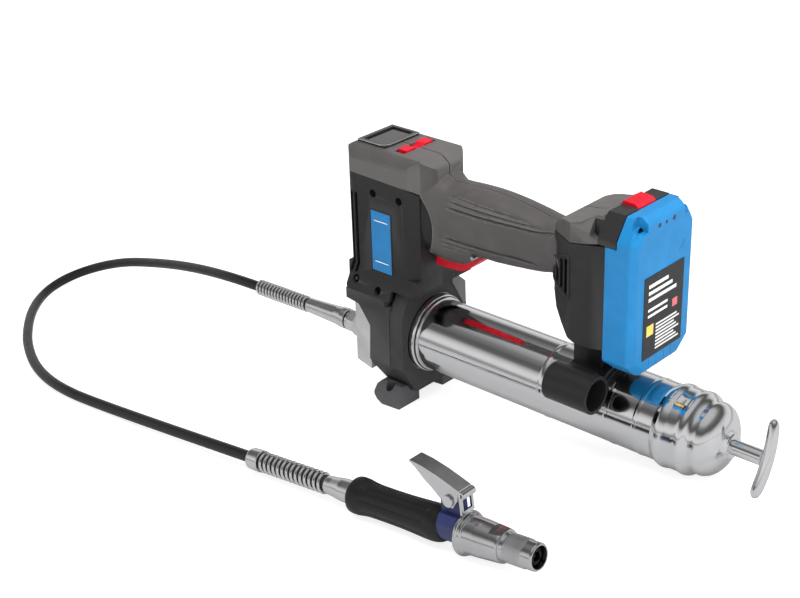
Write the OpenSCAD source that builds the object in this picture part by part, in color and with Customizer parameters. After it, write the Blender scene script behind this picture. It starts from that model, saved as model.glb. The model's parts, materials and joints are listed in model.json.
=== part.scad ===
// Cordless grease gun with a flexible hose and a lever coupler.
// The origin is on the barrel axis at the rear face of the pump boot.
// +X runs rearward along the barrel to the T-handle, +Z is up, -Y is the gun's left side.

/* [Barrel] */
// Outside diameter of the barrel tube, sized for a 400 g cartridge
barrel_d = 57; // [56:0.5:58]
// Wall thickness of the barrel tube
barrel_wall = 1.2; // [1:0.1:1.6]
// Where the barrel tube ends under the cap
barrel_end = 236; // [232:1:240]
// Diameter of the follower rod
rod_d = 11; // [9:0.5:12]
// Length of the T-handle bar
t_bar_len = 54; // [44:1:60]
// Angle of the T-handle bar from vertical
t_bar_angle = 22; // [0:1:45]

/* [Body] */
// Half width of the upper body
body_half = 29; // [28.5:0.5:30]
// Height of the top of the body above the barrel axis
body_top = 152; // [150:1:154]
// Half width of the pump boot
boot_half = 38.5; // [38:0.5:40]
// Wall thickness of the moulded shells
wall = 3; // [2.5:0.25:3.25]
// Half width of the handle
handle_half = 20; // [19:0.5:21]
// How far the feet reach below the barrel axis
foot_drop = 56; // [54:1:58]

/* [Drive] */
// Height of the motor axis
motor_z = 119; // [119:0.5:120]
// Diameter of the motor can
motor_d = 36; // [34:1:36]
// Gear module, pitch diameter per tooth
gear_module = 1; // [1:1:1]
// Throw of the crank pin, half of the plunger stroke
crank_throw = 4; // [3:0.5:4]

/* [Hose] */
// Outside diameter of the hose
hose_d = 8.7; // [8:0.1:8.8]
// Outside diameter of the coiled guard at the pump
guard_d = 14.2; // [13:0.1:15]
// Outside diameter of the coiled guard at the coupler
long_guard_d = 15.8; // [14:0.1:16]
// Angle at which the hose droops where it leaves the pump
droop = 1.8; // [0:0.1:3]

/* [Coupler] */
// Diameter of the rubber grip at its middle
grip_d = 24; // [22:0.5:25]
// Angle of the coupler to the barrel as it lies on the ground
coupler_tilt = 7; // [6:0.1:8]
// Radius of the jaws' bore, which clamps the head of a grease nipple
jaw_r = 3.3; // [3.2:0.05:3.4]

/* [Battery] */
// Half width of the battery
batt_half = 36; // [35.5:0.5:36]
// Diameter of one battery cell
cell_d = 18; // [17.5:0.1:18]

/* [Hidden] */
$fn = 64;

gap = 0.3;                       // clearance between fitted mouldings
slip = 0.05;                     // radial running clearance of a shaft in its bore
barrel_r = barrel_d / 2;
light_grey = [0.37, 0.36, 0.35];
dark_grey = [0.2, 0.2, 0.2];
black_rubber = [0.1, 0.1, 0.1];
blue = [0.12, 0.48, 0.75];
red = [0.82, 0.11, 0.17];
navy = [0.18, 0.2, 0.36];
steel = [0.75, 0.75, 0.76];
cast_grey = [0.7, 0.7, 0.7];

// ---------- drawing helpers ----------

// Points of an arc of radius r about (cx, cy) from angle a0 to angle a1
function arc(cx, cy, r, a0, a1, n = 6) =
    [for (i = [0:n]) let (a = a0 + (a1 - a0) * i / n) [cx + r * cos(a), cy + r * sin(a)]];

// The mirror image of an outline in its vertical axis, in reverse order
function mirrored(pts) = [for (i = [len(pts) - 1:-1:0]) [-pts[i][0], pts[i][1]]];

// An outline that is symmetric about its vertical axis, from its right half
function both_sides(pts) = concat(pts, mirrored(pts));

// A point on a cubic curve with the end points a and d and the handles b and c
function cubic(a, b, c, d, t) =
    a * pow(1 - t, 3) + b * 3 * t * pow(1 - t, 2) + c * 3 * t * t * (1 - t) + d * pow(t, 3);

function unit(v) = v / norm(v);

// Extrudes an X-Z outline from y0 to y1
module along_y(y0, y1) translate([0, y1, 0]) rotate([90, 0, 0]) linear_extrude(y1 - y0) children();

// Extrudes a Y-Z outline from x0 to x1
module along_x(x0, x1) translate([x0, 0, 0]) rotate([90, 0, 90]) linear_extrude(x1 - x0) children();

// Extrudes an X-Y outline from z0 to z1
module along_z(z0, z1) translate([0, 0, z0]) linear_extrude(z1 - z0) children();

// A round bar or bore along X
module rod_x(x0, x1, r, y = 0, z = 0) translate([x0, y, z]) rotate([0, 90, 0]) cylinder(h = x1 - x0, r = r);

// A round bar or bore along Y
module rod_y(y0, y1, r, x, z) translate([x, y1, z]) rotate([90, 0, 0]) cylinder(h = y1 - y0, r = r);

// A round bar or bore along Z
module rod_z(z0, z1, r, x, y) translate([x, y, z0]) cylinder(h = z1 - z0, r = r);

// A box from its low corner to its high corner
module block(low, high) translate(low) cube(high - low);

// A solid of revolution about the X axis, from points [x, radius]
module turned(profile) rotate([0, 90, 0]) rotate_extrude() polygon([for (p = profile) [p[1], p[0]]]);

// Keeps the left (side = -1) or right (side = 1) half of its children
module half_of(side) intersection() {
    children();
    block([-120, side < 0 ? -100 : 0, -100], [320, side < 0 ? 0 : 100, 220]);
}

// A closed tube of radius r along a list of points, with n sides, never parallel to ref
module sweep(path, r, n = 12, ref = [0, 0, 1]) {
    last = len(path) - 1;
    rings = [for (i = [0:last])
        let (ahead = path[min(i + 1, last)], behind = path[max(i - 1, 0)],
             d = unit(ahead - behind), side = unit(cross(ref, d)), up = cross(d, side))
        for (k = [0:n - 1]) path[i] + r * (cos(360 * k / n) * side + sin(360 * k / n) * up)];
    skins = [for (i = [0:last - 1]) for (k = [0:n - 1]) let (m = (k + 1) % n)
        [(i + 1) * n + k, (i + 1) * n + m, i * n + m, i * n + k]];
    ends = [[for (k = [0:n - 1]) k], [for (k = [n - 1:-1:0]) last * n + k]];
    polyhedron(rings, concat(skins, ends));
}

// A wire coil about the X axis, from x0, with its pitch, turns, radius and wire radius
module coil(x0, pitch, turns, r, wire, steps = 14) sweep(
    [for (i = [0:turns * steps]) let (a = 360 * i / steps) [x0 + pitch * i / steps, r * cos(a), r * sin(a)]],
    wire, 6, [1, 0, 0]);

// ---------- upper body ----------

body_front = -65;
cap_rear = 16;
case_rear = 7;
case_low = 36;
flare_top = 55;
corner_r = 9;

// Front-view outline of the body, drawn in by the distance d
module body_section(d = 0) polygon(both_sides(concat(
    [[boot_half - d, case_low - 10], [boot_half - d, case_low + 1], [body_half - d, flare_top]],
    arc(body_half - 11, body_top - 11, 11 - d, 0, 90))));

// Plan outline of the body above the flare
module cap_plan(d = 0) polygon(concat(
    arc(body_front + corner_r, -body_half + corner_r, corner_r - d, 180, 270),
    [[-4, d - body_half], [8 - d, d - 24], [cap_rear - d, d - 16]],
    [[cap_rear - d, 16 - d], [8 - d, 24 - d], [-4, body_half - d]],
    arc(body_front + corner_r, body_half - corner_r, corner_r - d, 90, 180)));

// Side outline of the light top cap, with the shoulder above the handle
module cap_side(d = 0) polygon(concat(
    [[body_front + d, 130.3 - (d > 0 ? 6 : 0)]],
    arc(body_front + 7, body_top - 7, 7 - d, 180, 90),
    [[7, body_top - 0.7 - d], [11.7, 148.5 - d], [cap_rear - d, 145.2 - d]],
    [[cap_rear - d, d > 0 ? 118 : 124], [10.7, d > 0 ? 118 : 124.7]],
    [[-4, 128.8 - (d > 0 ? 6 : 0)]]));

// Side outline of the dark motor case
module case_side(d = 0) polygon([
    [body_front + d, 130 + (d > 0 ? 5 : 0)], [body_front + d, 56], [-60 + d, 46], [-60 + d, case_low - d],
    [-14.5 + d, case_low - d], [-14.5 + d, 44.2 - d], [case_rear - d, 44.2 - d],
    [case_rear - d, 124.4 + (d > 0 ? 5 : 0)], [-4, 128.5 + (d > 0 ? 5 : 0)]]);

// Side outline of the handle, whose lower front bulges over the trigger
module handle_side(d = 0) polygon(concat(
    [[case_rear + 0.3, 124.2 - d], [case_rear + 0.3, 72 + d], [20, 70.5 + d], [34, 71 + d]],
    [[44, 75 + d], [54, 81.6 + d], [71, 82.9 + d], [90, 84.8 + d], [112, 88 + d], [134, 94 + d]],
    [[134, 138 - d], [126, 130.3 - d], [116, 127.6 - d], [100, 130.6 - d], [82, 133.2 - d], [63, 134.6 - d]],
    [[30, 133.7 - d], [23, 133.5 - d], [18.3, 136 - d], [cap_rear, 139 - d], [cap_rear, 124.2 - d]]));

// Front-view outline of the handle
module handle_section(d = 0) polygon(both_sides(concat(
    arc(handle_half - 15, 85, 15 - d, -90, 0),
    arc(handle_half - 17, 121, 17 - d, 0, 90))));

// Side and front outlines of the knuckle over the battery foot
module knuckle_side(d = 0) polygon([
    [127 + d, 131], [138, 143 - d], [151.5, 145.5 - d],
    [158, 147 - d], [168, 153.4 - d], [176 - d, 154 - d], [176 - d, 137], [151, 131]]);
module knuckle_section(d = 0) polygon(both_sides([
    [34 - d, 125], [34 - d, 143], [27 - d, 152.6 - d], [12, 160 - d]]));

// Plan outline of the battery foot and the knuckle above it
module foot_plan(d = 0) polygon([
    [126.3 + d, -18 + d], [134 + d, -24 + d], [151, -33 + d], [169, -34 + d], [182, -34 + d],
    [182, 34 - d], [169, 34 - d], [151, 33 - d], [134 + d, 24 - d], [126.3 + d, 18 - d]]);

module top_shell() {
    difference() {
        union() {
            intersection() {
                along_y(-50, 50) cap_side();
                along_x(-70, 20) body_section();
                along_z(100, 160) cap_plan();
            }
            intersection() {
                along_y(-50, 50) handle_side();
                along_x(0, 134) handle_section();
            }
        }
        // the hollow of the cap, open below to the motor case
        intersection() {
            along_y(-50, 50) cap_side(wall);
            along_x(-70, 20) body_section(wall);
            along_z(100, 160) cap_plan(wall);
        }
        // the hollow of the handle, open at both ends
        intersection() {
            along_y(-50, 50) handle_side(wall);
            along_x(0, 135) handle_section(wall);
        }
        // the window for the display, the slot for the speed switch and the slot for the trigger
        block([-56, -17, 140], [-33, 17, 160]);
        block([-22.3, -18.3, 140], [-12.7, 18.3, 160]);
        block([0, -10.3, 60], [57, 10.3, 90]);
        // the holes that hold the trigger's pin
        rod_y(-18.5, 18.5, pin_hole_r, trigger_pivot[0], trigger_pivot[1]);
    }
    knuckle();
}

module knuckle() difference() {
    intersection() {
        along_y(-50, 50) knuckle_side();
        along_x(120, 180) knuckle_section();
        along_z(120, 160) foot_plan();
    }
    intersection() {
        along_y(-50, 50) knuckle_side(wall);
        along_x(120, 180) knuckle_section(wall);
        along_z(120, 160) foot_plan(wall);
    }
    // the way up for the battery's rails
    block([173.2, -24.3, 120], [180, 24.3, 170]);
}

module top_shell_left() color(light_grey) half_of(-1) top_shell();
module top_shell_right() color(light_grey) half_of(1) top_shell();

vent_x = [-60.5, -55.5];         // front edges of the two cooling slots
vent_w = 3;
screw_at = [[-36, 117.6], [-9.7, 117.6], [-52, 44], [-28, 41]];
plate_low = [-38.9, 54];
plate_high = [-18.7, 104];

// Plan outline of the flare at the foot of the motor case
module flare_plan(d = 0) polygon(concat(
    arc(body_front + corner_r, -boot_half + corner_r, corner_r - d, 180, 270),
    [[-4, d - boot_half], [case_rear - d, d - 34], [case_rear - d, 34 - d], [-4, boot_half - d]],
    arc(body_front + corner_r, boot_half - corner_r, corner_r - d, 90, 180)));

module case_solid(d = 0) intersection() {
    along_y(-50, 50) case_side(d);
    along_x(-70, 20) body_section(d);
    union() {
        along_z(20, flare_top) flare_plan(d);
        along_z(flare_top, 140) cap_plan(d);
    }
}
module motor_case() difference() {
    case_solid();
    case_solid(wall);
    // the opening into the handle
    block([0, -15, 86], [12, 15, 140]);
    // the opening down to the pump
    block([-56, -26, 30], [-17, 26, 46]);
    for (side = [-1, 1]) {
        for (x = vent_x) block([x, side * 30 - 12, 48], [x + vent_w, side * 30 + 12, 114]);
        for (s = screw_at) rod_y(min(side * 20, side * 45), max(side * 20, side * 45), 1.7, s[0], s[1]);
        for (s = screw_at) screw_recess(s, side);
        block([plate_low[0] - slip, side * body_half - 0.8, plate_low[1] - slip],
            [plate_high[0] + slip, side * body_half + 0.8, plate_high[1] + slip]);
    }
}

// Where the case's side wall stands at the height z
function case_side_y(z) = z >= flare_top ? body_half
    : body_half + (boot_half - body_half) * (flare_top - z) / (flare_top - case_low - 1);

// The counterbore for one screw head
module screw_recess(s, side) {
    face = case_side_y(s[1] + 3.2);
    rod_y(min(side * (face - 1.6), side * 50), max(side * (face - 1.6), side * 50), 3.2, s[0], s[1]);
}

module motor_case_left() color(dark_grey) half_of(-1) motor_case();
module motor_case_right() color(dark_grey) half_of(1) motor_case();

module housing_screws() color(steel) for (side = [-1, 1]) for (s = screw_at) {
    face = case_side_y(s[1] + 3.2);
    seat = side * (face - 1.6);
    head = side * (face - 0.2);
    tip = side * (s[1] > 100 ? 19.5 : 24);
    rod_y(min(seat, head), max(seat, head), 2.9, s[0], s[1]);
    rod_y(min(head, tip), max(head, tip), 1.6, s[0], s[1]);
}

module name_plates() color(blue) for (side = [-1, 1])
    block([plate_low[0], side > 0 ? body_half - 0.7 : -body_half - 0.2, plate_low[1]],
        [plate_high[0], side > 0 ? body_half + 0.2 : -body_half + 0.7, plate_high[1]]);

module display_bezel() color("black") difference() {
    block([-59, -19.5, body_top + 0.05], [-30.5, 19.5, body_top + 1.8]);
    block([-55, -16, body_top - 1], [-34, 16, body_top + 3]);
}
module display_window() color([0.05, 0.05, 0.06])
    block([-54.9, -15.9, body_top - 1.5], [-34.1, 15.9, body_top + 0.4]);
module display_board() color([0.1, 0.35, 0.2]) {
    block([-56.5, -18, 144], [-33, 18, 145.6]);
    block([-52, -14, 145.6], [-37, 14, 148]);
}
module speed_switch() color(red) difference() {
    union() {
        block([-22, -15, 147.8], [-13, 15, body_top + 1]);
        block([-24, -13, 146], [-11, 13, 147.8]);
    }
    translate([-17.5, 0, body_top + 4]) rotate([0, 90, 0]) cylinder(h = 20, r = 6, center = true);
}

// ---------- boots, guard and feet around the pump ----------

// Rear-view outline of the boot: flat sides, chamfers below
module boot_section() polygon(both_sides([
    [22.7, -44], [boot_half, -19.7], [boot_half, 35.8]]));
module boot_rear_section() polygon(both_sides([
    [22.7, -44], [boot_half, -19.7], [boot_half - 1, 25], [29.5, 41.3], [8, 43.6]]));

// The space that the pump head takes, with clearance c all round
module head_space(c) {
    block([-62 - c, -21 - c, -30 - c], [-14 + c, 21 + c, 35.5 + c]);
    rod_x(-16 - c, -4 + c, 33.5 + c);
    rod_z(30, 42 + c, 13 + c, plunger_x, 0);
}

module boot_front() color(dark_grey) difference() {
    intersection() {
        along_x(-60, -15.2) boot_section();
        along_y(-50, 50) polygon([[-60, 35.8], [-60, 27], [-47, 25.3], [-35.5, 10], [-37, -19.5],
            [-35, -31], [-31, -44], [-15.2, -44], [-15.2, 35.8]]);
    }
    head_space(gap);
    block([-20, -40, 30.5], [-10, 40, 36]);
}
module boot_rear() color(dark_grey) difference() {
    along_x(-14.8, -2) boot_rear_section();
    head_space(gap);
    rod_x(-20, 0, 32);
    block([-16, -40, 35.9], [-14.2, 40, 44.5]);
    guard_cut(0.1);
}

// The pocket on the right of the rear boot that the guard plate fills
module guard_cut(c) along_x(-6 - c, 0) polygon([
    [20.6 - c, 50], [20.6 - c, 35 - c], [33.5, 12.2 - c], [50, 12.2 - c], [50, 50]]);
module side_guard() color([0.5, 0.5, 0.5]) intersection() {
    along_x(-6, -1.2) polygon([
        [20.6, 41.6], [28.2, 41.2], [29, 38], [boot_half - 1.6, 31], [boot_half - 1.3, 12.2],
        [33.5, 12.2], [20.6, 35]]);
    guard_cut(0);
}

foot_x = [-33, -7.5];            // front and rear of a foot
cap_contact = [241, 30.7];       // where the cap touches the ground, and its radius there
rest_slope = (foot_drop - cap_contact[1]) / (cap_contact[0] - foot_x[1]);
strap_hole_r = 4;
strap_hole_at = [-20, 33];

module foot(side) {
    sole_front = foot_x[0] + 6;
    difference() {
        intersection() {
            along_x(foot_x[0], foot_x[1]) polygon([for (p = [
                [14, -foot_drop - 4], [36.5, -foot_drop - 4], [39.4, -foot_drop + 2.5],
                [39.4, -foot_drop + 9], [33, -38.4], [27.2, -38.4], [23.4, -44.3], [14, -44.3]])
                [side * p[0], p[1]]]);
            along_y(-50, 50) polygon([[foot_x[1], -foot_drop],
                [sole_front, -foot_drop + rest_slope * (sole_front - foot_x[1])],
                [foot_x[0], -foot_drop + 6], [foot_x[0], -42], [foot_x[0] + 4, -38], [foot_x[1], -38]]);
        }
        rod_z(-80, -30, strap_hole_r, strap_hole_at[0], side * strap_hole_at[1]);
    }
}
module foot_left() color([0.33, 0.34, 0.35]) foot(-1);
module foot_right() color([0.33, 0.34, 0.35]) foot(1);

// ---------- pump ----------

plunger_x = -33;
plunger_r = 5;
outlet_z = -19.5;
outlet_x = -84;
cup_front = -12;                 // floor of the cup that the barrel screws into

module nose_plan() polygon([[-30, -21], [-36, -36.5], [-58, -31], [-71, -18], [-76, -11],
    [-76, 11], [-71, 18], [-58, 31], [-36, 36.5], [-30, 21]]);
module nose_side() polygon(concat(
    [[-37.6, 10], [-47.8, 23.6], [-58, 25], [-62, 25], [-74, 14], [-76, -8]],
    arc(-64, -18, 12, 180, 270), [[-37.5, -30], [-38, -20]]));

module pump_head() color(cast_grey) difference() {
    union() {
        head_space(0);
        block([-62, -20, 10], [-45, 20, 35.5]);
        intersection() {
            along_z(-30, 25) nose_plan();
            along_y(-40, 40) nose_side();
        }
        rod_x(outlet_x, -70, 10.5, 0, outlet_z);
    }
    // the barrel's socket
    rod_x(cup_front, 0, barrel_r + slip);
    // the plunger's bore and the pocket for its seal
    rod_z(-24, 60, plunger_r + slip, plunger_x, 0);
    rod_z(36, 60, 8, plunger_x, 0);
    // grease inlet from the barrel
    rod_x(plunger_x, 0, 4.5, 0, 3);
    // check valve: seat, ball chamber and outlet thread
    rod_x(-61, plunger_x, 3, 0, outlet_z);
    rod_x(-75, -61, 5.2, 0, outlet_z);
    rod_x(outlet_x - 1, -75, 6.5, 0, outlet_z);
    // the vent valve's port on the top of the right side
    rod_y(10, 60, 3.5, vent_valve_at[0], vent_valve_at[1]);
}

vent_valve_at = [-52, 17];
module vent_valve() color("goldenrod") {
    rod_y(13, 36, 3.45, vent_valve_at[0], vent_valve_at[1]);
    rod_y(36, 39, 5, vent_valve_at[0], vent_valve_at[1]);
}
// The plunger, with a yoke whose window leaves room for the crank pin's whole circle
module plunger() color(steel) {
    window = 2 * crank_throw + pin_r + 0.4;
    yoke = window + 3.1;
    rod_z(-14, crank_z - yoke + 0.1, plunger_r, plunger_x, 0);
    difference() {
        block([-37.5, -yoke, crank_z - yoke], [-29.5, yoke, crank_z + yoke]);
        block([-40, -window, crank_z - window], [-25, window, crank_z + window]);
    }
}
module plunger_seal() color(black_rubber) difference() {
    rod_z(36.2, 41.6, 7.95, plunger_x, 0);
    rod_z(30, 60, plunger_r + slip, plunger_x, 0);
}
module check_ball() color(steel) translate([-63.75, 0, outlet_z]) sphere(r = 4);
module check_spring() color(steel) translate([0, 0, outlet_z]) coil(-74.2, 1.4, 3, 3.2, 0.55);

// ---------- drive ----------

pinion_teeth = 10;
idler_big_teeth = 40;
idler_small_teeth = 12;
crank_teeth = 44;
idler_z = motor_z - gear_module * (pinion_teeth + idler_big_teeth) / 2;
crank_z = idler_z - gear_module * (idler_small_teeth + crank_teeth) / 2;
pin_r = 3;
frame_front = -51;
frame_rear = -45.6;

// A spur gear along X with straight-sided teeth and backlash, with a tooth centred at the angle turn
module gear(teeth, x0, x1, z, turn) {
    tip = gear_module * teeth / 2 + 0.8 * gear_module;
    root = gear_module * teeth / 2 - 1.15 * gear_module;
    pitch = 360 / teeth;
    translate([x0, 0, z]) rotate([90, 0, 90]) linear_extrude(x1 - x0) polygon([
        for (i = [0:teeth - 1]) for (q = [[-0.27, root], [-0.1, tip], [0.1, tip], [0.27, root]])
            let (a = turn + (i + q[0]) * pitch) [q[1] * cos(a), q[1] * sin(a)]]);
}

module motor_can() color([0.55, 0.55, 0.57]) difference() {
    union() {
        rod_x(-37.5, 2.5, motor_d / 2, 0, motor_z);
        rod_x(2.5, 3.8, 5, 0, motor_z);
    }
    rod_x(-60, -10, 1.6 + slip, 0, motor_z);
}
module motor_pinion() color(steel) {
    rod_x(-57, -12, 1.6, 0, motor_z);
    gear(pinion_teeth, -57, -52, motor_z, 90);
}
module gear_frame() color([0.6, 0.6, 0.62]) difference() {
    union() {
        along_x(frame_front, frame_rear) polygon(both_sides([
            [14, 50], [22, 58], [22, 128], [14, motor_z + 17.5]]));
        rod_x(frame_rear, -37.6, 15, 0, motor_z);
    }
    rod_x(-60, -30, 6, 0, motor_z);
    rod_x(-60, -30, 8, 0, idler_z);
    rod_x(-60, -30, 10, 0, crank_z);
    block([-44.9, -30, 50], [-30, 30, 103.5]);
}
module bearing_ring(z, inner, outer) difference() {
    rod_x(frame_front + 0.2, frame_rear - 0.2, outer - 0.02, 0, z);
    rod_x(-60, -30, inner, 0, z);
}
module gear_bearings() color(steel) {
    bearing_ring(idler_z, 4 + slip, 8);
    bearing_ring(crank_z, 5 + slip, 10);
}
module idler_gear() color(steel) {
    gear(idler_big_teeth, -57, -52, idler_z, 90 + 180 / idler_big_teeth);
    rod_x(-57, -39, 4, 0, idler_z);
    gear(idler_small_teeth, -44, -39, idler_z, -90);
}
module crank_gear() color(steel) {
    gear(crank_teeth, -44, -39, crank_z, 90 + 180 / crank_teeth);
    rod_x(-54, -44, 5, 0, crank_z);
    rod_x(-39, -30, pin_r, crank_throw, crank_z);
}

// ---------- trigger and electrics ----------

trigger_pivot = [52, 85];
trigger_half = 9.5;
trigger_pin_r = 1.5;
pin_hole_r = trigger_pin_r + slip;

module trigger() color(red) difference() {
    union() {
        along_y(-trigger_half, trigger_half) polygon([[9.6, 72.5], [9.6, 65], [20, 65.2], [33, 66.2],
            [40, 69], [47, 75], [53, 80.6], [53, 84], [44, 84], [34, 80.6], [20, 76]]);
        rod_y(-trigger_half, trigger_half, 4.4, trigger_pivot[0], trigger_pivot[1]);
    }
    rod_y(-20, 20, pin_hole_r, trigger_pivot[0], trigger_pivot[1]);
}
module trigger_pin() color(steel) rod_y(-18.4, 18.4, trigger_pin_r, trigger_pivot[0], trigger_pivot[1]);
module trigger_switch() color(black_rubber) {
    block([20, -8, 91], [46, 8, 106]);
    block([24, -4, 81.6], [29, 4, 91]);
}
module power_leads() color(red) for (y = [-3, 3]) rod_x(46, 139.8, 1.3, y, 101);
module control_board() color([0.1, 0.35, 0.2]) {
    block([140, -20, 77], [141.6, 20, 125]);
    block([141.6, -12, 84], [152, 12, 112]);
}

// ---------- battery foot ----------

module battery_foot() difference() {
    intersection() {
        along_z(50, 140) foot_plan();
        along_y(-50, 50) polygon([[126.3, 92], [134, 74], [141, 66], [149, 59], [156, 56.3], [170, 57],
            [181.6, 59], [181.6, 136.7], [151, 130.7], [126.3, 130.7]]);
    }
    intersection() {
        along_z(50, 160) foot_plan(wall);
        along_y(-50, 50) polygon([[129.5, 96], [137, 78], [143, 70], [151, 62], [156, 59.5],
            [171.5, 60], [171.5, 160], [120, 160]]);
    }
    // the handle's end sits in the front of the foot
    block([120, -handle_half - gap, 86], [134.3, handle_half + gap, 140]);
    // the channel that the battery's rails slide down, open at the top
    block([173.2, -24.3, 62], [177, 24.3, 160]);
    block([177, -20.3, 62], [190, 20.3, 160]);
    block([168, -14, 66], [174, 14, 120]);
    for (side = [-1, 1]) foot_vents(side);
}

// Three slots on each slanting side, longer towards the rear
module foot_vents(side) for (i = [0:2]) {
    x = 133 + 6 * i;
    block([x, min(side * 16, side * 40), 93.6 - 1.6 * i], [x + 3.4, max(side * 16, side * 40), 111 + 2.9 * i]);
}
module battery_foot_left() color(dark_grey) half_of(-1) battery_foot();
module battery_foot_right() color(dark_grey) half_of(1) battery_foot();

module terminal_block() color(black_rubber) {
    block([163, -13.5, 66.5], [172.5, 13.5, 119]);
    for (y = [-9, -3, 3, 9]) block([172.5, y - 0.5, 72], [175.5, y + 0.5, 84]);
}

// ---------- battery ----------

batt_low = 41;

// Rear-view outline of the battery, drawn in by the distance d
module batt_section(d = 0) polygon(both_sides([
    [22 - d / 2, batt_low + d], [batt_half - d, 53 + d / 2], [batt_half - d, 143 - d / 2],
    [25 - d / 2, 159 - d]]));

module battery_case() color(blue) difference() {
    union() {
        intersection() {
            along_x(182, 202) batt_section();
            along_y(-50, 50) polygon([[182, 30], [202, 30], [202, 180], [191.2, 180], [191.2, 138],
                [182, 138]]);
        }
        hull() {
            along_x(201.9, 202) batt_section();
            along_x(206.4, 206.5) batt_section(4);
        }
    }
    // the cell chamber
    along_x(181, 202.4) polygon(both_sides([[20, 43.5], [32.7, 51.5], [32.7, 142.1], [26, 150], [13, 154]]));
}
module battery_front() color(light_grey) difference() {
    union() {
        intersection() {
            along_x(176.4, 191) batt_section();
            along_y(-50, 50) polygon([[176.4, 138.3], [191, 138.3], [191, 170], [181, 170], [176.4, 156]]);
        }
        block([182.3, -32.4, 52], [184, 32.4, 138.4]);
        block([176.6, -20, 64], [182.4, 20, 138.4]);
        block([173.5, -24, 64], [176.7, 24, 136.5]);
    }
    block([170, -13, 60], [180, 13, 122]);
    block([178.8, -26, 141], [192, 26, 149.4]);
    block([184, -33, 130], [192, 33, 142.6]);
    block([170, -10.4, 149.3], [207, 10.4, 180]);
}
module battery_cells() color([0.2, 0.55, 0.35]) for (i = [0:4])
    rod_y(-32.5, 32.5, cell_d / 2, 193.2, 60.6 + i * (cell_d + 0.1));
module battery_latch() color(red) difference() {
    along_y(-10, 10) polygon([[176.7, 152.6], [176.7, 160], [178.4, 161.8], [187.4, 161.2], [190.6, 158.8],
        [190.6, 152.6]]);
    for (i = [0:2]) rod_y(-20, 20, 0.8, 180.4 + 2.6 * i, 162.1 - 0.17 * i);
}
module battery_label() color([0.18, 0.18, 0.19]) block([206.6, -23.4, 54.4], [206.9, 23.4, 116.4]);

// ---------- barrel, cap and follower ----------

// Outline of the tube's wall with a shallow rolled bead at each place in beads
beads = [122, 181, 205];
module barrel_tube() color(steel) {
    inner = barrel_r - barrel_wall;
    turned(concat(
        [[cup_front + 0.3, inner], [cup_front + 0.3, barrel_r]],
        [for (b = beads) for (k = [-2:2]) [b + k * 0.9, barrel_r + 0.35 - 0.0875 * k * k]],
        [[barrel_end, barrel_r], [barrel_end, inner]]));
}
module barrel_collar() color(steel) difference() {
    turned(concat(
        [[-3.6, barrel_r + slip], [-3.6, 31.4], [-1.8, 31.4]],
        arc(1, 29.9, 1.75, 100, -10),
        [[3.2, 29.5]], arc(4.2, 28.95, 0.95, 120, 0), [[5.2, barrel_r + slip]]));
}
module barrel_seal() color(black_rubber) difference() {
    rod_x(cup_front + 0.02, cup_front + 0.28, barrel_r - 0.2);
    rod_x(-20, 0, 20);
}
// The cap: a rolled skirt with three beads, a groove and a domed end with a boss for the rod
module barrel_cap() color(steel) {
    bore = barrel_r + slip;
    turned(concat(
        [[218.5, bore], [218.5, 28.9], [220.6, 29.6]],
        arc(225, 29.3, 1.8, 140, 30, 5),
        [[229.5, 29.8], [237, 29.9]], arc(241, 28.7, 2, 120, 20, 5),
        [[246.2, 27.2], [248.6, 26.6], [252.5, 26.7], [256.5, 25.4], [260.5, 22], [264, 17], [266.4, 11.5],
         [268.6, 9]],
        [[268.6, rod_d / 2 + slip], [263, rod_d / 2 + slip], [263, 9], [259, 16], [254, 21.5],
         [250, 24], [barrel_end + 0.3, 24.6], [barrel_end + 0.3, bore]]));
}
module follower_cup() color(black_rubber) turned([
    [10, rod_d / 2 + 1.6], [10, 24], [12, 27], [16, 27.2], [16, 26.2], [26, 26.2], [28, 27.2], [30, 27.2],
    [30, 25.2], [13.5, 25.2], [13.5, rod_d / 2 + 1.6]]);
module follower_rod() color(steel) {
    rod_x(8.5, 291, rod_d / 2);
    rod_x(13.6, 16.5, rod_d / 2 + 3);
    rod_x(6.5, 9.9, rod_d / 2 + 3);
}

// The wire coil round the rod that pushes the follower forward
module follower_spring() color(steel) coil(17, 16.2, 14, 21, 1.2);

// The T-handle: a bar bowed away from the gun, on the end of the rod
module t_handle() color(steel) {
    bow_r = 120;
    bar_r = 4.3;
    reach = asin(t_bar_len / 2 / bow_r);
    translate([294.6, 0, 0]) rotate([-t_bar_angle, 0, 0]) sweep([for (i = [-6:6]) let (a = reach * i / 6)
        [-bow_r * (1 - cos(a)), 0, bow_r * sin(a)]], bar_r, 16, [0, 1, 0]);
}

// ---------- holder clip between the battery foot and the barrel ----------

holder_x = [144, 181];
tube_at = [-39, 25.5];
tube_r = 14;
module hose_holder() color(black_rubber) difference() {
    union() {
        rod_x(holder_x[0], holder_x[1], tube_r, tube_at[0], tube_at[1]);
        intersection() {
            rod_x(142, 172, barrel_r + 4.5);
            along_x(140, 175) polygon([[-30, 8], [-26, 36], [26, 36], [30, 8]]);
        }
        block([142, -13, 26], [166, 13, 56]);
        block([146, -30, 20], [170, -22, 33]);
    }
    rod_x(holder_x[0] + 3, holder_x[1] + 1, tube_r - 2.5, tube_at[0], tube_at[1]);
    rod_x(100, 200, barrel_r + 0.6);
}

// ---------- hose ----------

coupler_at = [170, -170, -22.4]; // point on the coupler axis, just behind the nose's flange
run_dir = [-cos(droop), 0, -sin(droop)];
outlet_at = [outlet_x - 12, 0, outlet_z];
guard_start = 47;
guard_end = 109;
back_dir = [cos(coupler_tilt), 0, sin(coupler_tilt)];

// A point on the coupler axis, u along it towards the nose
function on_coupler(u) = coupler_at + u * back_dir;

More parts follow.
